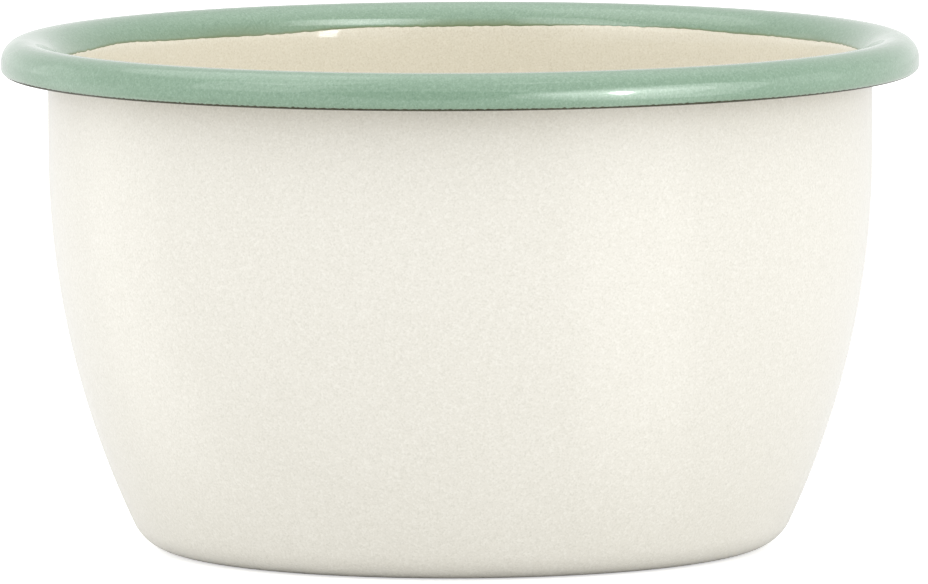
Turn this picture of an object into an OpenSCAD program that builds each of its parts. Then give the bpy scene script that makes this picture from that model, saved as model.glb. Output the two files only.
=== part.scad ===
// Enamelled steel bowl with a rolled rim: cream inside and out, with a green band over the roll.
// The origin is the middle of the standing ring, on the surface that the bowl stands on, and +Z is up.
// One pressed steel sheet carries the fired coats: a dark ground coat on every face, cream cover coats
// on the inside and the outside, and a green coat over the rim. Every layer is the same path of
// the sheet's middle, shifted along its normals, so neighbouring layers share their faces.

/* [Bowl] */
// Outside diameter over the rolled rim
rim_d = 140; // [110:1:200]
// Height from the standing ring to the top of the rim
bowl_h = 77.9; // [55:0.1:105]
// Height of the upright stretch of wall, between the belly and the flare under the rim
straight_h = 12; // [1:0.5:30]
// Outside radius of the belly, where the wall draws in towards the base
belly_r = 134; // [110:1:300]
// Outside radius of the corner between the belly and the base
corner_r = 6.8; // [3:0.1:15]

/* [Base] */
// Width of the flat ring that the bowl stands on
ring_w = 5; // [2:0.5:15]
// Height of the middle of the base above the standing ring
dish_h = 0.8; // [0.2:0.1:3]
// Radius of the two bends between the standing ring and the middle of the base
step_r = 6; // [3:0.5:15]

/* [Rolled rim] */
// Width of the roll, from the outside of the wall to the widest line of the rim
roll_w = 7.15; // [5.5:0.05:12]
// Outside radius of the roll's nose, from the top of the rim round to its widest line
nose_r = 3.45; // [2:0.05:5]
// Height of the upright skirt below the nose
skirt_h = 0.8; // [0.2:0.1:3]
// Inside radius of the heel, where the skirt turns in to the underside of the roll
heel_in_r = 0.15; // [0.05:0.05:1]
// Outside radius of the lip's bend, where the underside turns up into the roll
lip_r = 2.2; // [1.3:0.1:3]
// Angle that the lip turns up past the underside of the roll
lip_turn = 60; // [10:1:80]
// Gap kept between the lip's bend and the outside of the wall
lip_gap = 0.6; // [0.3:0.1:2]

/* [Sheet and coats] */
// Thickness of the steel sheet
sheet_t = 0.6; // [0.4:0.05:1]
// Thickness of the dark ground coat
ground_t = 0.15; // [0.1:0.05:0.3]
// Thickness of the cream cover coats
cover_t = 0.2; // [0.1:0.05:0.4]
// Thickness of the green rim coat
rim_t = 0.2; // [0.1:0.05:0.4]
// Angle of the flare's bend at which cream meets green inside and the outer cream ends
cream_turn = 20; // [5:1:60]
// Angle of the heel's bend at which the green coat ends
green_turn = 45; // [20:1:80]

/* [Hidden] */
// Steps round the axis, and the most degrees that one step of a bend turns
round_steps = 180;
bend_step = 6;
heel_step = 15;
belly_step = 1.5;

// Depths of the layers' faces from the middle of the sheet, the same to either side
steel_face = sheet_t / 2;
ground_face = steel_face + ground_t;
cover_face = ground_face + cover_t;
rim_face = ground_face + rim_t;

// Rolled rim, along the middle of the sheet: the flare rises to the crown, where the nose takes over
rim_r = rim_d / 2;
wall_r = rim_r - roll_w;
nose_bend = nose_r - rim_face;
nose_x = rim_r - nose_r;
nose_z = bowl_h - nose_r;
flare_bend = nose_x - (wall_r - cover_face);
flare_z = nose_z + nose_bend - flare_bend;
heel_bend = heel_in_r + ground_face;
heel_x = rim_r - rim_face - heel_bend;
heel_z = nose_z - skirt_h;
lip_bend = lip_r - rim_face;
lip_x = wall_r + lip_gap + lip_r;
lip_z = heel_z - heel_bend + lip_bend;

// Belly and corner: the two arcs meet where both lean by belly_turn
belly_x = wall_r - belly_r;
belly_z = flare_z - straight_h;
belly_turn = asin((belly_z - corner_r) / (belly_r - corner_r));
base_r = belly_x + (belly_r - corner_r) * cos(belly_turn);

// Step between the standing ring and the raised middle of the base
step_turn = acos(1 - dish_h / (2 * step_r));
ring_in_r = base_r - ring_w;
middle_r = ring_in_r - 2 * step_r * sin(step_turn);
ring_z = cover_face;
middle_z = ring_z + dish_h;

// Stations of an arc, each [x, z, normal x, normal z]. A side of 1 has the bowl's outside on the arc's
// outer side, and -1 on its inner side. An arc that runs on from another one skips its first station.
function arc(x, z, r, from, to, side, step, skip = 0) =
    let (count = ceil(abs(to - from) / step))
    [
        for (i = [skip : count])
            let (a = from + (to - from) * i / count)
            [x + r * cos(a), z + r * sin(a), side * cos(a), side * sin(a)]
    ];

// Path of the sheet's middle from the axis to the lip, in three stretches that the coats end between
to_cream_end = concat(
    [[0, middle_z, 0, -1]],
    arc(middle_r, middle_z - step_r, step_r, 90, 90 - step_turn, -1, bend_step),
    arc(ring_in_r, ring_z + step_r, step_r, 270 - step_turn, 270, 1, bend_step, 1),
    arc(base_r, corner_r, corner_r - cover_face, -90, -belly_turn, 1, bend_step),
    arc(belly_x, belly_z, belly_r - cover_face, -belly_turn, 0, 1, belly_step, 1),
    arc(nose_x, flare_z, flare_bend, 180, 180 - cream_turn, -1, bend_step)
);
to_green_end = concat(
    to_cream_end,
    arc(nose_x, flare_z, flare_bend, 180 - cream_turn, 90, -1, bend_step, 1),
    arc(nose_x, nose_z, nose_bend, 90, 0, -1, bend_step, 1),
    arc(heel_x, heel_z, heel_bend, 0, -green_turn, -1, heel_step)
);
path = concat(
    to_green_end,
    arc(heel_x, heel_z, heel_bend, -green_turn, -90, -1, heel_step, 1),
    arc(lip_x, lip_z, lip_bend, -90, -90 - lip_turn, -1, bend_step)
);
axis_end = 0;
cream_end = len(to_cream_end) - 1;
green_end = len(to_green_end) - 1;
lip_end = len(path) - 1;

// One face of a layer: the path between two stations, shifted by depth. A positive depth lies
// towards the outside of the bowl, or the hollow of the roll.
function face(depth, first, last, way = 1) =
    [
        for (i = way > 0 ? [first : last] : [last : -1 : first])
            let (s = path[i])
            [s[0] + depth * s[2], s[1] + depth * s[3]]
    ];

// A point just past the cut edge of the sheet, where the ground coat closes round it
function past_lip(depth) =
    let (s = path[lip_end])
    [s[0] + depth * s[2] - ground_t * s[3], s[1] + depth * s[3] + ground_t * s[2]];

module turned(outline) {
    rotate_extrude($fn = round_steps)
        polygon(outline);
}

// A layer between two depths, from one station of the path to another
module layer(near, far, first, last) {
    turned(concat(face(near, first, last), face(far, first, last, -1)));
}

// Pressed sheet: base, belly, wall, flare and hollow roll in one piece
module steel_body() {
    color([0.60, 0.61, 0.62])
        layer(steel_face, -steel_face, axis_end, lip_end);
}

// Dark glassy first coat on the inside, over the roll and round the sheet's cut edge
module ground_coat_inside() {
    color([0.17, 0.17, 0.15])
        turned(concat(
            face(-ground_face, axis_end, lip_end),
            [past_lip(-ground_face), past_lip(ground_face)],
            face(ground_face, lip_end, lip_end),
            face(-steel_face, axis_end, lip_end, -1)
        ));
}

// The same coat under the base, up the outer wall and through the hollow of the roll
module ground_coat_outside() {
    color([0.17, 0.17, 0.15])
        layer(ground_face, steel_face, axis_end, lip_end);
}

// Cream coat that lines the bowl, up to the green band
module cover_coat_inside() {
    color([0.91, 0.88, 0.80])
        layer(-ground_face, -cover_face, axis_end, cream_end);
}

// Cream coat under the base and up the outer wall, which the bowl stands on
module cover_coat_outside() {
    color([0.94, 0.92, 0.87])
        layer(cover_face, ground_face, axis_end, cream_end);
}

// Green coat from the cream lining over the roll to its heel, where the ground coat shows
module rim_coat() {
    color([0.60, 0.72, 0.63])
        layer(-ground_face, -rim_face, cream_end, green_end);
}

steel_body();
ground_coat_inside();
ground_coat_outside();
cover_coat_inside();
cover_coat_outside();
rim_coat();
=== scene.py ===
"""Dresses the enamel bowl with smooth fired coats, in a white studio with the photograph's camera.

Every length is in metres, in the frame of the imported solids: +Z is up and the bowl stands on z = 0.
"""

import logging
import math
from dataclasses import dataclass, field
from enum import Enum

import bpy
import numpy as np
from mathutils import Matrix, Vector


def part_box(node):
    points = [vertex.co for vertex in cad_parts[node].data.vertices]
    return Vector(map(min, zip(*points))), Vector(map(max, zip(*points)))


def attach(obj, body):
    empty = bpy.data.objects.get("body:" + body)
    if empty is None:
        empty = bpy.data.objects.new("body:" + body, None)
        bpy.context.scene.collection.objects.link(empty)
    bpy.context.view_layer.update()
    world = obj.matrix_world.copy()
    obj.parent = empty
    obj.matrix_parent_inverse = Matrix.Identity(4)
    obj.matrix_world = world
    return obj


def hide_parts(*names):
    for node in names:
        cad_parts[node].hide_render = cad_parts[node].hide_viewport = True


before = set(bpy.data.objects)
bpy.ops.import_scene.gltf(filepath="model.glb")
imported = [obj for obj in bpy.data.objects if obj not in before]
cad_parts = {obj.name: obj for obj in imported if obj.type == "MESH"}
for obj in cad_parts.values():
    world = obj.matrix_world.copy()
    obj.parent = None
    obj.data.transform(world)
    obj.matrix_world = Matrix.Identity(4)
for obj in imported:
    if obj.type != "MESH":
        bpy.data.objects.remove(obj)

LOG = logging.getLogger("enamel_bowl")
MM = 0.001
BODY = "root"
TINT_SHARE = "tint_share"
RIM_PIECE = "green_rim"
LINING_PIECE = "cream_lining"
WHITE = (1.0, 1.0, 1.0, 1.0)
QUARTER_TURN = 90
Colour = tuple[float, float, float]


class Slot(Enum):
    """Material slots of the record."""

    STEEL = "steel"
    GROUND = "ground_enamel"
    CREAM = "cream_enamel"
    GREEN = "green_enamel"


class Side(Enum):
    """Side of the sheet that a coat lies on: towards the bowl's inside, or towards its outside."""

    INSIDE = -1.0
    OUTSIDE = 1.0


class Stretch(Enum):
    """Bends of the sheet, in order from the axis to the cut edge."""

    STEP_TOP = "upper bend of the step under the base"
    STEP_FOOT = "lower bend of the step, at the standing ring"
    CORNER = "corner between the base and the belly"
    BELLY = "belly"
    FLARE = "flare at the top of the wall"
    NOSE = "rounded nose of the roll"
    HEEL = "tight heel of the roll"
    LIP = "lip inside the roll"


@dataclass(frozen=True)
class BowlSizes:
    """Sizes of the pressed sheet and of the coats on it, as the solids have them."""

    rim_radius: float
    height: float
    straight: float = 12.0 * MM
    belly_radius: float = 134.0 * MM
    corner_radius: float = 6.8 * MM
    ring_width: float = 5.0 * MM
    dish: float = 0.8 * MM
    step_radius: float = 6.0 * MM
    roll_width: float = 7.15 * MM
    nose_radius: float = 3.45 * MM
    skirt: float = 0.8 * MM
    heel_inside: float = 0.15 * MM
    lip_radius: float = 2.2 * MM
    lip_turn: float = 60.0
    lip_gap: float = 0.6 * MM
    sheet: float = 0.6 * MM
    ground: float = 0.15 * MM
    cover: float = 0.2 * MM
    cream_turn: float = 20.0
    green_turn: float = 45.0

    @classmethod
    def from_frame(cls) -> "BowlSizes":
        """Takes the rim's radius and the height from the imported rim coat.

        Returns:
            The sizes, with the smallest radius that the rim coat's facets reach.
        """
        lowest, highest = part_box("rim_coat")
        return cls(rim_radius=min(-lowest.x, -lowest.y, highest.x, highest.y), height=highest.z)

    @property
    def steel_face(self) -> float:
        """Depth of the sheet's faces from its middle."""
        return self.sheet / 2

    @property
    def ground_face(self) -> float:
        """Depth of the ground coat's faces from the sheet's middle."""
        return self.steel_face + self.ground

    @property
    def cover_face(self) -> float:
        """Depth of the finished faces from the sheet's middle."""
        return self.ground_face + self.cover


class SheetPath:
    """Middle of the sheet from the axis to the cut edge, as a function of the length along it.

    Each point has a place (r, z) and a normal that points to the bowl's outside or into the roll's hollow.
    """

    ARC_SAMPLES = 400
    LONGEST_STEP = 1.6 * MM
    WIDEST_TURN = math.radians(3.5)

    def __init__(self, sizes: BowlSizes) -> None:
        """Lays the path out from tangent bends and the straight stretches between them.

        Args:
            sizes: the bowl's sizes.
        """
        self.sizes = sizes
        self._blocks: list[np.ndarray] = []
        self._spans: dict[Stretch, tuple[int, int]] = {}
        self._lay_out()
        self._table = np.concatenate(self._blocks)
        steps = np.hypot(np.diff(self._table[:, 0]), np.diff(self._table[:, 1]))
        self._length = np.concatenate([[0.0], np.cumsum(steps)])
        heading = np.unwrap(np.arctan2(self._table[:, 3], self._table[:, 2]))
        effort = np.maximum(steps / self.LONGEST_STEP, np.abs(np.diff(heading)) / self.WIDEST_TURN)
        self._effort = np.concatenate([[0.0], np.cumsum(effort)])

    def _bend(self, stretch: Stretch, centre: tuple[float, float], radius: float,
              turn: tuple[float, float], side: int) -> None:
        """Adds a bend.

        Args:
            stretch: the bend's name.
            centre: the centre's distance from the axis, and its height.
            radius: the bend's radius.
            turn: the angles that it starts and stops at, in degrees.
            side: 1 where the normal points away from the centre, and -1 where it points to it.
        """
        a = np.radians(np.linspace(*turn, self.ARC_SAMPLES))
        c, s = np.cos(a), np.sin(a)
        first = sum(len(block) for block in self._blocks)
        self._spans[stretch] = (first, first + self.ARC_SAMPLES - 1)
        columns = [centre[0] + radius * c, centre[1] + radius * s, side * c, side * s]
        self._blocks.append(np.stack(columns, axis=1))

    def _lay_out(self) -> None:
        """Adds the base, the belly, the flare and the roll in order."""
        b = self.sizes
        skin = b.cover_face
        wall = b.rim_radius - b.roll_width
        nose_r, nose_z = b.rim_radius - b.nose_radius, b.height - b.nose_radius
        nose_bend = b.nose_radius - skin
        flare_bend = nose_r - wall + skin
        flare_z = nose_z + nose_bend - flare_bend
        heel_bend = b.heel_inside + b.ground_face
        heel_r, heel_z = b.rim_radius - skin - heel_bend, nose_z - b.skirt
        lip_bend = b.lip_radius - skin
        belly_r, belly_z = wall - b.belly_radius, flare_z - b.straight
        reach = b.belly_radius - b.corner_radius
        lean = math.degrees(math.asin((belly_z - b.corner_radius) / reach))
        base = belly_r + reach * math.cos(math.radians(lean))
        step = math.degrees(math.acos(1 - b.dish / (2 * b.step_radius)))
        ring = base - b.ring_width
        middle = ring - 2 * b.step_radius * math.sin(math.radians(step))

        self._blocks.append(np.array([[0.0, skin + b.dish, 0.0, -1.0]]))
        step_top = (middle, skin + b.dish - b.step_radius)
        self._bend(Stretch.STEP_TOP, step_top, b.step_radius, (90, 90 - step), -1)
        self._bend(Stretch.STEP_FOOT, (ring, skin + b.step_radius), b.step_radius, (270 - step, 270), 1)
        self._bend(Stretch.CORNER, (base, b.corner_radius), b.corner_radius - skin, (-90, -lean), 1)
        self._bend(Stretch.BELLY, (belly_r, belly_z), b.belly_radius - skin, (-lean, 0), 1)
        self._bend(Stretch.FLARE, (nose_r, flare_z), flare_bend, (180, 90), -1)
        self._bend(Stretch.NOSE, (nose_r, nose_z), nose_bend, (90, 0), -1)
        self._bend(Stretch.HEEL, (heel_r, heel_z), heel_bend, (0, -90), -1)
        lip_centre = (wall + b.lip_gap + b.lip_radius, heel_z - heel_bend + lip_bend)
        self._bend(Stretch.LIP, lip_centre, lip_bend, (-90, -90 - b.lip_turn), -1)

    def along(self, stretch: Stretch, share: float) -> float:
        """Length of the path up to some share of a bend.

        Args:
            stretch: the bend.
            share: 0 for its start and 1 for its end.

        Returns:
            The length from the axis.
        """
        first, last = (self._length[k] for k in self._spans[stretch])
        return first + share * (last - first)

    @property
    def cream_end(self) -> float:
        """Where cream meets green on the flare."""
        return self.along(Stretch.FLARE, self.sizes.cream_turn / QUARTER_TURN)

    @property
    def green_end(self) -> float:
        """Where the green coat ends on the heel."""
        return self.along(Stretch.HEEL, self.sizes.green_turn / QUARTER_TURN)

    @property
    def cut_edge(self) -> float:
        """Where the sheet ends."""
        return self._length[-1]

    def face(self, length: np.ndarray, depth: np.ndarray) -> tuple[np.ndarray, np.ndarray]:
        """Places points at some depth from the sheet's middle.

        Args:
            length: lengths along the path.
            depth: distances along the normal, positive to the outside.

        Returns:
            The points' distances from the axis and their heights.
        """
        r, z, normal_r, normal_z = (np.interp(length, self._length, self._table[:, k]) for k in range(4))
        return r + depth * normal_r, z + depth * normal_z

    def stations(self, start: float, stop: float, coarser: float = 1.0) -> np.ndarray:
        """Lengths for a mesh's rows, close in the bends and wide on the flats.

        Args:
            start: the first length.
            stop: the last length.
            coarser: how many times wider than usual the rows lie apart.

        Returns:
            The lengths, in order.
        """
        first, last = np.interp([start, stop], self._length, self._effort)
        count = math.ceil((last - first) / coarser) + 1
        return np.interp(np.linspace(first, last, count), self._effort, self._length)


@dataclass(frozen=True)
class Ripple:
    """A smooth wander round the bowl, made of waves with fixed phases."""

    seed: int
    waves: tuple[int, int]
    count: int
    size: float

    def at(self, angle: np.ndarray) -> np.ndarray:
        """The wander at some angles.

        Args:
            angle: angles round the axis, in radians.

        Returns:
            Values whose typical size is the ripple's.
        """
        rng = np.random.default_rng(self.seed)
        turns = rng.integers(self.waves[0], self.waves[1] + 1, self.count)
        phases = rng.uniform(0, 2 * math.pi, self.count)
        return self.size * math.sqrt(2 / self.count) * np.cos(np.outer(angle, turns) + phases).sum(axis=1)


@dataclass(frozen=True)
class Sag:
    """A place round the bowl where a coat's border runs further along the sheet, or less far."""

    azimuth: float
    spread: float
    size: float

    def at(self, angle: np.ndarray) -> np.ndarray:
        """The sag at some angles, in radians."""
        off = np.angle(np.exp(1j * (angle - math.radians(self.azimuth))))
        return self.size * np.exp(-(off / math.radians(self.spread)) ** 2)


@dataclass(frozen=True)
class BorderLine:
    """Edge of a coat round the bowl: a place on the path, with ripples and sags."""

    ripples: tuple[Ripple, ...]
    sags: tuple[Sag, ...] = ()
    shift: float = 0.0

    def at(self, place: float, angle: np.ndarray) -> np.ndarray:
        """Length along the path at which the coat ends.

        Args:
            place: the border's mean place.
            angle: angles round the axis, in radians.

        Returns:
            One length for each angle.
        """
        return place + self.shift + sum(part.at(angle) for part in (*self.ripples, *self.sags))


INNER_BORDER = BorderLine(
    ripples=(Ripple(11, (4, 24), 12, 0.05 * MM), Ripple(12, (60, 260), 30, 0.025 * MM)),
    sags=(
        Sag(165, 12, -0.45 * MM),
        Sag(124, 15, -0.62 * MM),
        Sag(66, 16, 0.24 * MM),
        Sag(20, 12, 0.34 * MM),
    ),
    shift=-0.20 * MM,
)
LOWER_EDGE = BorderLine(
    ripples=(Ripple(17, (200, 700), 90, 0.028 * MM), Ripple(19, (3, 14), 6, 0.015 * MM)),
    sags=(Sag(330, 25, 0.03 * MM), Sag(205, 14, -0.06 * MM)),
    shift=0.06 * MM,
)
BORDER_TINT = BorderLine(
    ripples=(Ripple(23, (5, 30), 12, 0.06 * MM),),
    sags=(Sag(88, 9, 0.55 * MM), Sag(125, 16, 0.10 * MM), Sag(68, 12, -0.38 * MM)),
    shift=0.50 * MM,
)


class NodeCanvas:
    """Short ways to add and join the nodes of a material or of the surroundings.

    The numbers are those of the Mix node's colour sockets, which share their names with other sockets.
    """

    FIRST_COLOUR = 6
    SECOND_COLOUR = 7
    MIXED_COLOUR = 2

    def __init__(self, tree: bpy.types.NodeTree, coordinates: str) -> None:
        """Takes a node tree.

        Args:
            tree: the node tree.
            coordinates: the texture coordinates that its noises and spans use.
        """
        self.tree = tree
        self.place = self.add("ShaderNodeTexCoord").outputs[coordinates]

    def add(self, kind: str, **settings: object) -> bpy.types.Node:
        """Adds a node.

        Args:
            kind: the node's type name.
            settings: the node's own settings.

        Returns:
            The node.
        """
        node = self.tree.nodes.new(kind)
        for key, value in settings.items():
            setattr(node, key, value)
        return node

    def join(self, source: bpy.types.NodeSocket, target: bpy.types.NodeSocket) -> None:
        """Joins two sockets."""
        self.tree.links.new(source, target)

    def noise(self, size: float, detail: float = 2.0, seed: float = 0.0) -> bpy.types.NodeSocket:
        """Adds noise with spots of some size.

        Args:
            size: the spots' size.
            detail: how many finer layers it has.
            seed: a number that sets one noise apart from another.

        Returns:
            The noise's value, about 0 to 1.
        """
        node = self.add("ShaderNodeTexNoise", noise_dimensions="4D")
        node.inputs["W"].default_value = seed
        node.inputs["Scale"].default_value = 1 / size
        node.inputs["Detail"].default_value = detail
        self.join(self.place, node.inputs["Vector"])
        return node.outputs["Fac"]

    def span(self, value: bpy.types.NodeSocket, source: tuple[float, float],
             target: tuple[float, float]) -> bpy.types.NodeSocket:
        """Maps a value from one range to another, and stops it there.

        Args:
            value: the value.
            source: the range that it has.
            target: the range that it gets.

        Returns:
            The mapped value.
        """
        node = self.add("ShaderNodeMapRange")
        for key, number in zip(("From Min", "From Max", "To Min", "To Max"), (*source, *target)):
            node.inputs[key].default_value = number
        self.join(value, node.inputs["Value"])
        return node.outputs["Result"]

    def blend(self, factor: bpy.types.NodeSocket, first: Colour | bpy.types.NodeSocket,
              second: Colour | bpy.types.NodeSocket) -> bpy.types.NodeSocket:
        """Mixes two colours.

        Args:
            factor: 0 for the first and 1 for the second.
            first: a colour or a socket.
            second: a colour or a socket.

        Returns:
            The mixed colour.
        """
        node = self.add("ShaderNodeMix", data_type="RGBA")
        self.join(factor, node.inputs["Factor"])
        for number, value in ((self.FIRST_COLOUR, first), (self.SECOND_COLOUR, second)):
            socket = node.inputs[number]
            if isinstance(value, bpy.types.NodeSocket):
                self.join(value, socket)
            else:
                socket.default_value = (*value, 1.0)
        return node.outputs[self.MIXED_COLOUR]

    def attribute(self, name: str) -> bpy.types.NodeSocket:
        """The value of a mesh attribute."""
        return self.add("ShaderNodeAttribute", attribute_name=name).outputs["Fac"]

    def sum_up(self, operation: str, first: bpy.types.NodeSocket,
               second: bpy.types.NodeSocket) -> bpy.types.NodeSocket:
        """Works one value out of two.

        Args:
            operation: the sum's name, such as ADD or MULTIPLY.
            first: the first value.
            second: the second value.

        Returns:
            The result.
        """
        node = self.add("ShaderNodeMath", operation=operation)
        self.join(first, node.inputs[0])
        self.join(second, node.inputs[1])
        return node.outputs[0]

    def between(self, factor: bpy.types.NodeSocket, low: float,
                high: bpy.types.NodeSocket) -> bpy.types.NodeSocket:
        """Goes from a fixed value to another one.

        Args:
            factor: 0 for the fixed value and 1 for the other.
            low: the fixed value.
            high: the other value.

        Returns:
            The value between them.
        """
        node = self.add("ShaderNodeMapRange")
        node.inputs["To Min"].default_value = low
        self.join(high, node.inputs["To Max"])
        self.join(factor, node.inputs["Value"])
        return node.outputs["Result"]

    def ray(self, kind: str) -> bpy.types.NodeSocket:
        """A value of 1 for rays of some kind, such as Is Camera Ray."""
        return self.add("ShaderNodeLightPath").outputs[kind]


class MaterialCanvas(NodeCanvas):
    """The nodes of a new material with a Principled shader."""

    def __init__(self, name: str) -> None:
        """Makes the material.

        Args:
            name: the material's name.
        """
        self.material = bpy.data.materials.new(name)
        self.material.use_nodes = True
        self.material.node_tree.nodes.clear()
        super().__init__(self.material.node_tree, "Object")
        self.shader = self.add("ShaderNodeBsdfPrincipled")
        output = self.add("ShaderNodeOutputMaterial")
        self.join(self.shader.outputs["BSDF"], output.inputs["Surface"])

    def bump(self, height: bpy.types.NodeSocket, depth: float, strength: float) -> None:
        """Bends the shader's normal by a height.

        Args:
            height: the height, 0 to 1.
            depth: the depth that 1 stands for.
            strength: how much of it shows.
        """
        node = self.add("ShaderNodeBump")
        node.inputs["Strength"].default_value = strength
        node.inputs["Distance"].default_value = depth
        self.join(height, node.inputs["Height"])
        self.join(node.outputs["Normal"], self.shader.inputs["Normal"])


@dataclass(frozen=True)
class Grain:
    """Fine specks of another tint in an enamel."""

    tint: Colour
    size: float
    share: float
    seed: float


@dataclass(frozen=True)
class EnamelFinish:
    """A fired enamel: a cloudy body colour with fine grains, a soft haze, and a clear glassy skin."""

    name: str
    body: Colour
    cloud: Colour
    grains: tuple[Grain, ...]
    # Colour mixed in where a coat marks it: a darker olive along the green's borders, and the brown dusting
    # on the ground.
    second_tint: Colour | None = None
    cloud_size: float = 18 * MM
    haze: tuple[float, float] = (0.28, 0.34)
    haze_level: float = 0.25
    skin: float = 0.55
    skin_roughness: float = 0.06
    ior: float = 1.52
    peel_size: float = 2.6 * MM
    peel_depth: float = 0.02 * MM
    peel_strength: float = 0.25
    cloud_detail: float = 3.0
    fine_detail: float = 1.0
    cloud_range: tuple[float, float] = (0.35, 0.65)
    speck_range: tuple[float, float] = (0.48, 0.72)
    haze_range: tuple[float, float] = (0.3, 0.7)
    haze_size: float = 6 * MM

    def make(self) -> bpy.types.Material:
        """Builds the material.

        Returns:
            The material.
        """
        canvas = MaterialCanvas(self.name)
        spots = canvas.noise(self.cloud_size, self.cloud_detail)
        cloud = canvas.span(spots, self.cloud_range, (0.0, 1.0))
        colour = canvas.blend(cloud, self.body, self.cloud)
        for grain in self.grains:
            spots = canvas.noise(grain.size, self.fine_detail, grain.seed)
            speck = canvas.span(spots, self.speck_range, (0.0, grain.share))
            colour = canvas.blend(speck, colour, grain.tint)
        if self.second_tint is not None:
            colour = canvas.blend(canvas.attribute(TINT_SHARE), colour, self.second_tint)
        canvas.join(colour, canvas.shader.inputs["Base Color"])
        rough = canvas.span(canvas.noise(self.haze_size), self.haze_range, self.haze)
        canvas.join(rough, canvas.shader.inputs["Roughness"])
        for key, value in (
            ("IOR", self.ior),
            ("Specular IOR Level", self.haze_level),
            ("Coat Weight", self.skin),
            ("Coat Roughness", self.skin_roughness),
            ("Coat IOR", self.ior),
        ):
            canvas.shader.inputs[key].default_value = value
        peel = canvas.noise(self.peel_size, self.fine_detail)
        canvas.bump(peel, self.peel_depth, self.peel_strength)
        return canvas.material


@dataclass(frozen=True)
class SteelFinish:
    """Rolled sheet steel with a faint grain, all of it under the enamel."""

    name: str = "rolled_steel"
    light: Colour = (0.42, 0.43, 0.44)
    dark: Colour = (0.30, 0.31, 0.32)
    grain_size: float = 0.6 * MM
    grain_range: tuple[float, float] = (0.3, 0.7)
    grain_depth: float = 0.01 * MM
    grain_strength: float = 0.2
    roughness: tuple[float, float] = (0.35, 0.5)

    def make(self) -> bpy.types.Material:
        """Builds the material.

        Returns:
            The material.
        """
        canvas = MaterialCanvas(self.name)
        grain = canvas.noise(self.grain_size)
        canvas.join(canvas.blend(grain, self.light, self.dark), canvas.shader.inputs["Base Color"])
        rough = canvas.span(grain, self.grain_range, self.roughness)
        canvas.join(rough, canvas.shader.inputs["Roughness"])
        canvas.shader.inputs["Metallic"].default_value = 1.0
        canvas.bump(grain, self.grain_depth, self.grain_strength)
        return canvas.material


CREAM = EnamelFinish(
    name="cream_enamel",
    body=(0.817, 0.793, 0.718),
    cloud=(0.807, 0.783, 0.706),
    grains=(
        Grain((0.71, 0.69, 0.61), 0.30 * MM, 0.75, 1.0),
        Grain((0.90, 0.88, 0.81), 0.33 * MM, 0.75, 2.0),
    ),
    haze=(0.36, 0.42),
)
# A yellower copy of the cream for the inside, with part of the warm tone of the inside's shade painted into
# its colour.
LINING = EnamelFinish(
    name="cream_lining_enamel",
    body=(0.826, 0.784, 0.668),
    cloud=(0.816, 0.774, 0.656),
    grains=(
        Grain((0.71, 0.66, 0.53), 0.30 * MM, 0.75, 6.0),
        Grain((0.90, 0.86, 0.75), 0.33 * MM, 0.75, 7.0),
    ),
    haze=(0.36, 0.42),
)
GREEN = EnamelFinish(
    name="green_enamel",
    body=(0.252, 0.381, 0.275),
    cloud=(0.242, 0.369, 0.265),
    grains=(
        Grain((0.175, 0.290, 0.205), 0.26 * MM, 0.70, 3.0),
        Grain((0.330, 0.480, 0.360), 0.30 * MM, 0.60, 4.0),
    ),
    second_tint=(0.18, 0.235, 0.115),
    haze=(0.20, 0.26),
    haze_level=0.20,
    skin=0.65,
    skin_roughness=0.05,
)
GROUND = EnamelFinish(
    name="ground_enamel",
    body=(0.033, 0.037, 0.018),
    cloud=(0.048, 0.050, 0.027),
    grains=(Grain((0.12, 0.12, 0.07), 0.30 * MM, 0.5, 5.0),),
    second_tint=(0.50, 0.41, 0.19),
    haze=(0.45, 0.60),
    haze_level=0.10,
    skin=0.12,
    peel_strength=0.5,
)


def turn_angles(columns: int) -> np.ndarray:
    """Angles of a mesh's columns round the axis."""
    return np.arange(columns) * (2 * math.pi / columns)


def turned_piece(name: str, r: np.ndarray, z: np.ndarray, closed: bool) -> bpy.types.Object:
    """Makes a smooth piece from rows of points round the axis.

    Args:
        name: the piece's name.
        r: distances from the axis, one row for each point of the section and one column for each angle.
        z: heights, in the same shape.
        closed: True where the section is a loop, and False where it starts and ends on the axis.

    Returns:
        The object.
    """
    rows, columns = r.shape
    angle = turn_angles(columns)
    points = np.stack([r * np.cos(angle), r * np.sin(angle), z], axis=2).reshape(-1, 3)
    index = np.arange(rows * columns).reshape(rows, columns)
    loop = np.concatenate([index, index[:1]]) if closed else index
    ahead = np.roll(loop, -1, axis=1)
    faces = np.stack([loop[:-1], ahead[:-1], ahead[1:], loop[1:]], axis=2).reshape(-1, 4).tolist()
    if not closed:
        first, last = len(points), len(points) + 1
        points = np.concatenate([points, [[0, 0, z[0].mean()], [0, 0, z[-1].mean()]]])
        near, far = index[0], index[-1]
        faces += np.stack([np.roll(near, -1), near, np.full(columns, first)], axis=1).tolist()
        faces += np.stack([far, np.roll(far, -1), np.full(columns, last)], axis=1).tolist()
    mesh = bpy.data.meshes.new(name)
    mesh.from_pydata(points.tolist(), [], faces)
    mesh.validate()
    mesh.shade_smooth()
    piece = bpy.data.objects.new(name, mesh)
    bpy.context.scene.collection.objects.link(piece)
    return piece


def eased(value: np.ndarray) -> np.ndarray:
    """A soft step from 0 to 1."""
    t = np.clip(value, 0, 1)
    return t * t * (3 - 2 * t)


def rounded(value: np.ndarray) -> np.ndarray:
    """A quarter round from 0 to 1."""
    t = np.clip(value, 0, 1)
    return np.sqrt(1 - (1 - t) ** 2)


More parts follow.
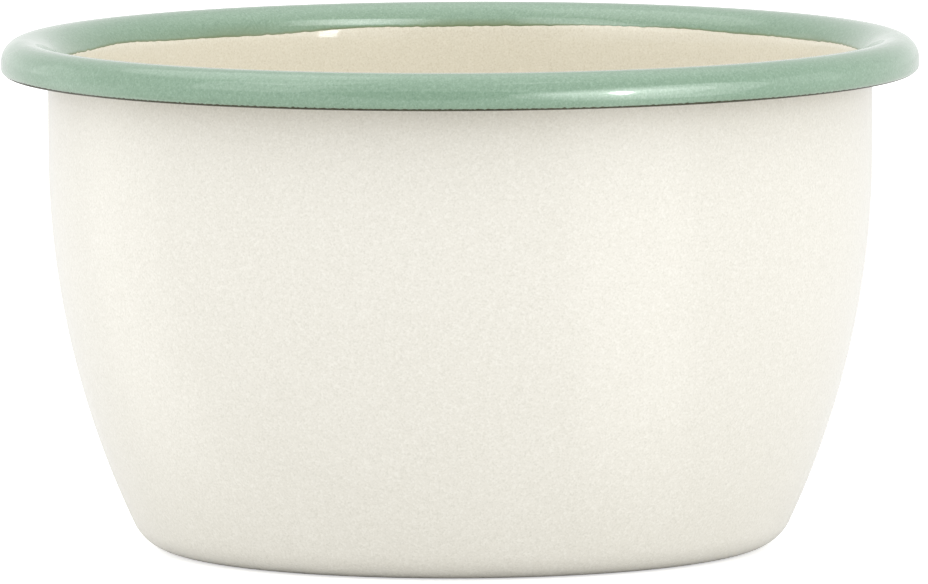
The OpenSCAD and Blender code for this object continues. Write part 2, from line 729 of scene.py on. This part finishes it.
@dataclass
class Coat:
    """One fired coat: a closed shell on one face of the sheet."""

    sizes: BowlSizes
    path: SheetPath
    finish: EnamelFinish
    slot: Slot
    columns: int = 480
    back_step: int = 4
    pole: float = 1.0 * MM
    piece: bpy.types.Object | None = field(default=None, init=False)

    def build(self, name: str) -> None:
        """Makes the shell's mesh, which each kind of coat does in its own way.

        Args:
            name: the piece's name.
        """
        raise NotImplementedError

    def dress(self, *nodes: str) -> None:
        """Gives the piece its finish and its body, and lets it stand for the solids.

        Args:
            nodes: the solids that it stands for.
        """
        self.piece.data.materials.append(self.finish.make())
        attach(self.piece, BODY)
        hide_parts(*nodes)
        LOG.info("%s stands for %s", self.piece.name, ", ".join(nodes))

    def spread(self, lengths: np.ndarray) -> np.ndarray:
        """The same lengths in every column."""
        return np.repeat(lengths[:, None], self.columns, axis=1)

    def mark(self, share: np.ndarray) -> None:
        """Marks how much of the finish's second colour shows.

        Args:
            share: 0 to 1 for each point of the rows; the poles, where there are any, get 0.
        """
        values = np.zeros(len(self.piece.data.vertices), dtype=np.float32)
        values[:share.size] = share.ravel()
        self.piece.data.attributes.new(TINT_SHARE, "FLOAT", "POINT").data.foreach_set("value", values)


@dataclass
class CreamCoat(Coat):
    """Cream cover coat on one side of the wall and the base, thinning out where the green runs over it."""

    side: Side = Side.OUTSIDE
    tuck: float = 0.5 * MM
    border_room: float = 2.2 * MM
    border_rows_mm: tuple[float, ...] = (-0.6, -0.3, -0.1, 0.0, 0.1, 0.2, 0.3, 0.4, 0.5)

    def build(self, name: str) -> None:
        """Makes the shell from the axis up to the green coat, and a little way under it.

        Args:
            name: the piece's name.
        """
        border = INNER_BORDER.at(self.path.cream_end, turn_angles(self.columns))
        fixed = self.spread(self.path.stations(self.pole, self.path.cream_end - self.border_room))
        top = border + np.array(self.border_rows_mm)[:, None] * MM
        front = np.concatenate([fixed, top])
        thickness = self.sizes.cover * (1 - eased((front - border) / self.tuck))
        front_r, front_z = self.path.face(front, self.side.value * (self.sizes.ground_face + thickness))
        back = front[-2::-self.back_step]
        back_r, back_z = self.path.face(back, np.full_like(back, self.side.value * self.sizes.ground_face))
        r, z = np.concatenate([front_r, back_r]), np.concatenate([front_z, back_z])
        order = slice(None, None, int(self.side.value))
        self.piece = turned_piece(name, r[order], z[order], closed=False)


@dataclass
class RimCoat(Coat):
    """Green coat over the roll, with a wavering border inside and a ragged edge on the heel."""

    columns: int = 1800
    coarser: float = 1.8
    border_rows_mm: tuple[float, ...] = (0.0, 0.02, 0.05, 0.09, 0.15, 0.25, 0.4)
    border_room: float = 1.0 * MM
    edge_rows_mm: tuple[float, ...] = (0.4, 0.25, 0.17, 0.11, 0.06, 0.025, 0.0)
    edge_room: float = 0.7 * MM
    border_height: float = 0.7
    overlap: float = 0.04 * MM
    border_round: float = 0.15 * MM
    settle: float = 1.8 * MM
    edge_round: float = 0.20 * MM
    border_share: float = 1.0
    edge_tint: float = 0.8 * MM
    edge_share: float = 0.12

    def build(self, name: str) -> None:
        """Makes the band, and marks a darker olive tint along its inner border and towards its ragged edge
        on the heel.

        Args:
            name: the piece's name.
        """
        path, cover = self.path, self.sizes.cover
        angle = turn_angles(self.columns)
        start, stop = INNER_BORDER.at(path.cream_end, angle), LOWER_EDGE.at(path.green_end, angle)
        first, last = path.cream_end + self.border_room, path.green_end - self.edge_room
        fixed = path.stations(first, last, self.coarser)
        lead = np.array(self.border_rows_mm)[:, None] * MM
        trail = np.array(self.edge_rows_mm)[:, None] * MM
        front = np.concatenate([start + lead, self.spread(fixed), stop - trail])
        ridge = self.overlap * (1 - eased((front - start) / self.settle))
        swell = rounded((front - start) / self.border_round)
        rise = self.border_height + (1 - self.border_height) * swell
        fall = rounded((stop - front) / self.edge_round)
        front_r, front_z = path.face(front, -(self.sizes.ground_face + (cover * rise + ridge) * fall))
        back = front[-2:0:-self.back_step]
        back_r, back_z = path.face(back, np.full_like(back, -self.sizes.ground_face))
        r, z = np.concatenate([front_r, back_r]), np.concatenate([front_z, back_z])
        self.piece = turned_piece(name, r[::-1], z[::-1], closed=True)
        length = np.concatenate([front, back])[::-1]
        # A darker olive tint along the inner border, wider where BORDER_TINT sags, and a faint one towards
        # the heel edge.
        from_border = (length - start) / BORDER_TINT.at(0.0, angle)
        from_edge = (stop - length) / self.edge_tint
        near_border = self.border_share * (1 - eased(from_border))
        near_edge = self.edge_share * (1 - eased(from_edge))
        self.mark(np.maximum(near_border, near_edge))


@dataclass
class GroundCoat(Coat):
    """Dark ground coat on one side of the sheet.

    The inside one pools a little under the heel, where it is bare, and closes round the sheet's cut edge.
    Past the heel, on the underside of the roll, a fine dusting of cream makes it brown.
    """

    side: Side = Side.INSIDE
    columns: int = 360
    pool: float = 0.15 * MM
    pool_rise: float = 0.4 * MM
    pool_fall: float = 2.0 * MM
    pool_lip_share: float = 0.5
    bead_steps: int = 13
    dusting_fade: float = 0.6 * MM
    dusting_share: float = 0.55

    def build(self, name: str) -> None:
        """Makes the shell from the axis to the cut edge.

        Args:
            name: the piece's name.
        """
        sizes, path = self.sizes, self.path
        lengths = path.stations(self.pole, path.cut_edge)
        depth = np.full_like(lengths, sizes.ground_face)
        if self.side is Side.INSIDE:
            begin, end = path.along(Stretch.HEEL, 0.0), path.along(Stretch.LIP, self.pool_lip_share)
            rise, fall = (lengths - begin) / self.pool_rise, (end - lengths) / self.pool_fall
            depth += self.pool * eased(rise) * eased(fall)
        front_r, front_z = path.face(lengths, self.side.value * depth)
        back = lengths[::-self.back_step]
        back_r, back_z = path.face(back, np.full_like(back, self.side.value * sizes.steel_face))
        edge_r, edge_z = self.edge_bead() if self.side is Side.INSIDE else (np.zeros(0), np.zeros(0))
        r, z = np.concatenate([front_r, edge_r, back_r]), np.concatenate([front_z, edge_z, back_z])
        order = slice(None, None, int(self.side.value))
        self.piece = turned_piece(name, self.spread(r[order]), self.spread(z[order]), closed=False)
        if self.side is Side.INSIDE:
            dusted = eased((lengths - path.along(Stretch.HEEL, 1.0)) / self.dusting_fade)
            rest = np.zeros(len(edge_r) + len(back_r))
            self.mark(self.dusting_share * self.spread(np.concatenate([dusted, rest])[order]))

    def edge_bead(self) -> tuple[np.ndarray, np.ndarray]:
        """The rounded bead of enamel on the cut edge, from the front face to the hollow's face.

        Returns:
            Distances from the axis and heights.
        """
        end = np.array([self.path.cut_edge])
        r, z = self.path.face(end, np.array([0.0]))
        tip_r, tip_z = self.path.face(end, np.array([1.0]))
        normal_r, normal_z = tip_r - r, tip_z - z
        turn = np.linspace(-math.pi / 2, math.pi / 2, self.bead_steps)[1:]
        depth, past = self.sizes.ground_face * np.sin(turn), self.sizes.ground * np.cos(turn)
        return r + depth * normal_r - past * normal_z, z + depth * normal_z + past * normal_r


@dataclass
class SteelBody:
    """The pressed sheet, which the solids already have right and the coats hide."""

    finish: SteelFinish = SteelFinish()

    def dress(self) -> None:
        """Gives the solid its finish."""
        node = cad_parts["steel_body"]
        node.data.materials.clear()
        node.data.materials.append(self.finish.make())
        LOG.info("steel_body keeps its solid")


@dataclass(frozen=True)
class Panel:
    """A soft light panel that faces the bowl.

    The azimuth is counted to the right from the camera's side, and radiance 1 shows as white. A gloss-only
    panel shows as a glint and adds no light to the enamel's body colour, and a matte-only one the other way
    round. A panel may shine on one piece alone, face a point of its own, be oval, and send its light out
    narrowly.
    """

    name: str
    azimuth: float
    elevation: float
    distance: float
    width: float
    height: float
    radiance: float
    gloss_only: bool = False
    matte_only: bool = False
    shines_on: str | None = None
    aim: tuple[float, float, float] | None = None
    oval: bool = False
    spread: float = 180.0

    def place(self, target: Vector) -> None:
        """Adds the lamp.

        Args:
            target: the point that the panel faces, unless it has one of its own.
        """
        lamp = bpy.data.lights.new(self.name, "AREA")
        lamp.shape = "ELLIPSE" if self.oval else "RECTANGLE"
        lamp.spread = math.radians(self.spread)
        lamp.size, lamp.size_y = self.width, self.height
        area = self.width * self.height * (math.pi / 4 if self.oval else 1.0)
        lamp.energy = self.radiance * math.pi * area
        obj = bpy.data.objects.new(self.name, lamp)
        a, e = math.radians(self.azimuth), math.radians(self.elevation)
        way = Vector((math.sin(a) * math.cos(e), -math.cos(a) * math.cos(e), math.sin(e)))
        obj.location = (target if self.aim is None else Vector(self.aim)) + way * self.distance
        obj.rotation_mode = "QUATERNION"
        obj.rotation_quaternion = way.to_track_quat("Z", "Y")
        obj.visible_camera = False
        obj.visible_diffuse = not self.gloss_only
        obj.visible_glossy = not self.matte_only
        if self.shines_on is not None:
            lit = bpy.data.collections.new(self.name)
            lit.objects.link(bpy.data.objects[self.shines_on])
            obj.light_linking.receiver_collection = lit
        bpy.context.scene.collection.objects.link(obj)


def rim_glint(name: str, *place: float, **options: object) -> Panel:
    """A panel that shows only in the green rim's gloss.

    Args:
        name: the panel's name.
        place: its azimuth, elevation, distance, width, height and radiance.
        options: its aim, its spread, and whether it is oval.

    Returns:
        The panel.
    """
    return Panel(name, *place, gloss_only=True, shines_on=RIM_PIECE, **options)


@dataclass(frozen=True)
class DarkCard:
    """A dark oval card in front of the bowl, which shows only as a dim streak in the enamel's gloss."""

    name: str = "dark_card"
    azimuth: float = -7.4
    distance: float = 0.90
    middle: float = 0.29
    width: float = 0.84
    height: float = 0.54
    steps: int = 48
    colour: Colour = (0.02, 0.02, 0.02)
    roughness: float = 0.9

    def place(self) -> None:
        """Hangs the card upright, facing the bowl."""
        a = math.radians(self.azimuth)
        across = Vector((math.cos(a), math.sin(a), 0.0)) * (self.width / 2)
        centre = Vector((math.sin(a) * self.distance, -math.cos(a) * self.distance, self.middle))
        rise = Vector((0.0, 0.0, self.height / 2))
        mesh = bpy.data.meshes.new(self.name)
        points = [centre + across * math.cos(t) + rise * math.sin(t) for t in turn_angles(self.steps)]
        mesh.from_pydata(points, [], [range(len(points))])
        piece = bpy.data.objects.new(self.name, mesh)
        canvas = MaterialCanvas(self.name)
        canvas.shader.inputs["Base Color"].default_value = (*self.colour, 1.0)
        canvas.shader.inputs["Roughness"].default_value = self.roughness
        mesh.materials.append(canvas.material)
        piece.visible_camera = piece.visible_diffuse = piece.visible_shadow = False
        bpy.context.scene.collection.objects.link(piece)


@dataclass(frozen=True)
class LightFan:
    """A soft fan of painted glow on the floor, seen only in the gloss: a painted reflection of a light band
    up the wall.
    """

    x: float
    y: float
    azimuth: float
    core: float
    reach: float
    radiance: float
    fade: tuple[float, float] = (0.052, 0.095)

    def value(self, canvas: NodeCanvas) -> bpy.types.NodeSocket:
        """The fan's painted glow at each point of the floor.

        Args:
            canvas: the floor's material.

        Returns:
            The radiance that it adds.
        """
        a = math.radians(self.azimuth)
        gap = canvas.add("ShaderNodeVectorMath", operation="SUBTRACT")
        gap.inputs[1].default_value = (self.x, self.y, 0.0)
        canvas.join(canvas.place, gap.inputs[0])
        way = canvas.add("ShaderNodeVectorMath", operation="NORMALIZE")
        canvas.join(gap.outputs["Vector"], way.inputs[0])
        aligned = canvas.add("ShaderNodeVectorMath", operation="DOT_PRODUCT")
        aligned.inputs[1].default_value = (math.sin(a), -math.cos(a), 0.0)
        canvas.join(way.outputs["Vector"], aligned.inputs[0])
        soft = canvas.add("ShaderNodeMapRange", interpolation_type="SMOOTHSTEP")
        soft.inputs["From Min"].default_value = math.cos(math.radians(self.reach))
        soft.inputs["From Max"].default_value = math.cos(math.radians(self.core))
        soft.inputs["To Max"].default_value = self.radiance
        canvas.join(aligned.outputs["Value"], soft.inputs["Value"])
        far = canvas.add("ShaderNodeVectorMath", operation="LENGTH")
        canvas.join(canvas.place, far.inputs[0])
        clear = canvas.span(far.outputs["Value"], self.fade, (0.0, 1.0))
        return canvas.sum_up("MULTIPLY", soft.outputs["Result"], clear)


@dataclass
class Studio:
    """White floor, white surroundings, soft panels, and glints and fans of painted floor glow that only the
    gloss shows.
    """

    floor_size: float = 12.0
    floor_gap: float = 0.05 * MM
    floor_colour: Colour = (0.85, 0.85, 0.85)
    floor_roughness: float = 0.9
    floor_sheen: float = 0.1
    floor_glow: float = 0.60
    ambient: float = 1.125
    mirrored: float = 1.05
    mirrored_gap: float = 0.86
    mirrored_overhead: float = 1.70
    gap_rise: tuple[float, float] = (0.08, 0.35)
    overhead_rise: tuple[float, float] = (0.65, 0.92)
    behind_reach: tuple[float, float] = (-0.65, 0.10)
    target: Vector = field(default_factory=lambda: Vector((0.0, 0.0, 0.07)))
    panels: tuple[Panel, ...] = (
        Panel("right_front", 56, 14, 0.90, 0.46, 0.42, 1.05),
        Panel("right_side", 95, 12, 0.90, 0.42, 0.42, 0.60),
        Panel("left_side", -92, 18, 0.90, 0.42, 0.55, 0.85, matte_only=True),
        Panel("left_back", -120, 14, 0.90, 0.42, 0.42, 0.40),
    )
    glints: tuple[Panel, ...] = (
        rim_glint("lamp_glint", 40, 6, 0.05, 0.0100, 0.0130, 21.0,
                  aim=(0.0245, -0.0656, 0.0757), oval=True),
        Panel("lining_glint", 39.6, 13.6, 1.50, 0.145, 0.88, 14.0, gloss_only=True, shines_on=LINING_PIECE),
        rim_glint("band_glint", 47.5, 8, 0.042, 0.104, 0.034, 1.8,
                  aim=(0.0252, -0.0671, 0.0757), oval=True),
        rim_glint("near_band_glint", 47.5, 8, 0.042, 0.068, 0.023, 2.2,
                  aim=(0.0218, -0.0708, 0.0757), oval=True),
        rim_glint("core_band_glint", 47.5, 8, 0.042, 0.052, 0.013, 2.2,
                  aim=(0.0200, -0.0728, 0.0757), oval=True),
        Panel("left_glint", -55, 30, 0.90, 0.50, 0.60, 1.2, gloss_only=True),
        rim_glint("high_left_glint", -118, 60, 0.90, 0.68, 0.62, 0.8, oval=True),
        rim_glint("far_right_glint", -42, 47, 0.30, 0.12, 0.18, 0.32,
                  aim=(0.018, 0.061, 0.0750), oval=True, spread=70.0),
        rim_glint("far_glint", 38, 52, 0.30, 0.34, 0.08, 0.37, aim=(-0.02, 0.062, 0.0755), spread=40.0),
    )
    # Fans of painted glow on the floor, seen only in reflections as light bands up the wall.
    fans: tuple[LightFan, ...] = (
        LightFan(-0.015, -0.052, -111, 5, 20, 0.5),
        LightFan(0.010, -0.025, 47, 10, 23, 0.9),
    )

    def surroundings(self) -> None:
        """An even soft light from all round.

        The gloss shows it brighter overhead, and a little dimmer between there and the horizon behind.
        """
        world = bpy.data.worlds.new("white_surroundings")
        world.use_nodes = True
        bpy.context.scene.world = world
        canvas = NodeCanvas(world.node_tree, "Generated")
        way = canvas.add("ShaderNodeSeparateXYZ")
        canvas.join(canvas.place, way.inputs[0])
        behind = canvas.span(way.outputs["Y"], self.behind_reach, (0.0, 1.0))
        gap = canvas.span(way.outputs["Z"], self.gap_rise, (self.mirrored, self.mirrored_gap))
        more = self.mirrored_overhead - self.mirrored_gap
        overhead = canvas.span(way.outputs["Z"], self.overhead_rise, (0.0, more))
        mirrored = canvas.between(behind, self.mirrored, canvas.sum_up("ADD", gap, overhead))
        strength = canvas.between(canvas.ray("Is Glossy Ray"), self.ambient, mirrored)
        shade = world.node_tree.nodes["Background"]
        shade.inputs["Color"].default_value = WHITE
        canvas.join(strength, shade.inputs["Strength"])

    def floor(self) -> None:
        """A plain pale floor that keeps the bowl's soft shadow, with fans of painted glow that only the
        gloss shows.
        """
        half = self.floor_size / 2
        mesh = bpy.data.meshes.new("floor")
        ends = [(-half, -half), (half, -half), (half, half), (-half, half)]
        mesh.from_pydata([(x, y, -self.floor_gap) for x, y in ends], [], [(0, 1, 2, 3)])
        piece = bpy.data.objects.new("floor", mesh)
        bpy.context.scene.collection.objects.link(piece)
        canvas = MaterialCanvas("pale_floor")
        canvas.shader.inputs["Base Color"].default_value = (*self.floor_colour, 1.0)
        canvas.shader.inputs["Roughness"].default_value = self.floor_roughness
        canvas.shader.inputs["Specular IOR Level"].default_value = self.floor_sheen
        canvas.shader.inputs["Emission Color"].default_value = WHITE
        glow = canvas.span(canvas.ray("Is Camera Ray"), (0.0, 1.0), (0.0, self.floor_glow))
        # Painted reflections: the fans glow only for glossy rays.
        for fan in self.fans:
            glossy = canvas.sum_up("MULTIPLY", canvas.ray("Is Glossy Ray"), fan.value(canvas))
            glow = canvas.sum_up("ADD", glow, glossy)
        canvas.join(glow, canvas.shader.inputs["Emission Strength"])
        mesh.materials.append(canvas.material)

    def build(self) -> None:
        """Adds the surroundings, the floor, the panels, the glints and the dark card."""
        self.surroundings()
        self.floor()
        for panel in (*self.panels, *self.glints):
            panel.place(self.target)
        DarkCard().place()
        LOG.info("studio with %d panels and %d glints", len(self.panels), len(self.glints))


@dataclass
class PhotoCamera:
    """The photograph's camera: far off and a little above the rim, with a long lens."""

    distance: float = 2.3
    height: float = 0.2674
    pitch: float = -5.6774
    pan: float = 0.0112
    roll: float = 0.26
    focal_pixels: float = 15146.0
    image_width: int = 928
    sensor: float = 36.0
    clip: tuple[float, float] = (0.05, 50.0)

    def build(self) -> None:
        """Adds the camera and makes it the scene's own."""
        data = bpy.data.cameras.new("photo_camera")
        data.sensor_width = self.sensor
        data.lens = self.focal_pixels * self.sensor / self.image_width
        data.clip_start, data.clip_end = self.clip
        camera = bpy.data.objects.new("photo_camera", data)
        turn = Matrix.Rotation(math.radians(-self.pan), 4, "Z")
        tilt = Matrix.Rotation(math.radians(QUARTER_TURN + self.pitch), 4, "X")
        spin = Matrix.Rotation(math.radians(-self.roll), 4, "Z")
        camera.matrix_world = Matrix.Translation((0.0, -self.distance, self.height)) @ turn @ tilt @ spin
        bpy.context.scene.collection.objects.link(camera)
        bpy.context.scene.camera = camera


def main() -> None:
    """Builds the bowl's coats, the studio and the camera."""
    logging.basicConfig(level=logging.INFO, format="%(name)s: %(message)s")
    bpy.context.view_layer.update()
    bpy.context.scene.view_settings.view_transform = "Standard"
    sizes = BowlSizes.from_frame()
    path = SheetPath(sizes)

    SteelBody().dress()
    ground_inside = GroundCoat(sizes, path, GROUND, Slot.GROUND, side=Side.INSIDE)
    ground_outside = GroundCoat(sizes, path, GROUND, Slot.GROUND, side=Side.OUTSIDE)
    lining = CreamCoat(sizes, path, LINING, Slot.CREAM, side=Side.INSIDE)
    outer = CreamCoat(sizes, path, CREAM, Slot.CREAM, side=Side.OUTSIDE)
    rim = RimCoat(sizes, path, GREEN, Slot.GREEN)
    for coat, name, node in (
        (ground_inside, "ground_enamel_inside", "ground_coat_inside"),
        (ground_outside, "ground_enamel_outside", "ground_coat_outside"),
        (lining, LINING_PIECE, "cover_coat_inside"),
        (outer, "cream_outside", "cover_coat_outside"),
        (rim, RIM_PIECE, "rim_coat"),
    ):
        coat.build(name)
        coat.dress(node)

    Studio().build()
    PhotoCamera().build()


if __name__ == "__main__":
    main()
